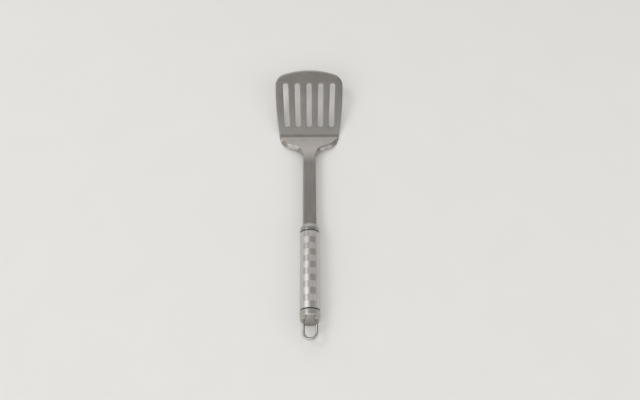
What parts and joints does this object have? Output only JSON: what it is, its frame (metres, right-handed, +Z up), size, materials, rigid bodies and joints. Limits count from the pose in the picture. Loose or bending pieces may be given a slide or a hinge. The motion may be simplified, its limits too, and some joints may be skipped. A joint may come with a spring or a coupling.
{
  "type": "slotted kitchen turner",
  "caption": "Slotted kitchen turner: a flat blade bent up from a flanged heel, a channel shank, and a round tubular handle with a swinging wire loop to hang it by.",
  "frame": {"origin": "middle of the turner's own box, at the height of the surface that it rests on", "axes": "+Y along the handle towards the blade, +Z up from that surface, +X to the right seen from the loop"},
  "size_m": [0.08, 0.325, 0.0264],
  "materials": {
    "blade_steel": "satin stainless",
    "cap_steel": "fine satin stainless",
    "chequered_steel": "stainless tube with squares brushed in two ways",
    "wire_steel": "polished stainless wire",
    "black_seal": "black seal rubber",
    "rod_steel": "plain steel"
  },
  "bodies": {
    "turner": {"turner_blade": "blade_steel", "front_collar": "cap_steel", "front_seal_ring": "black_seal", "handle_sleeve": "chequered_steel", "rear_seal_ring": "black_seal", "end_cap": "cap_steel", "loop_lug": "cap_steel", "tie_rod": "rod_steel", "tang_rivets": "rod_steel"},
    "loop": {"hanging_loop": "wire_steel"}
  },
  "joints": [
    {"name": "loop_swing", "type": "hinge", "parent": "turner", "child": "loop", "pos_m": [0, -0.14522, 0.01], "axis": [1, 0, 0], "range_deg": [-90, 90]}
  ]
}
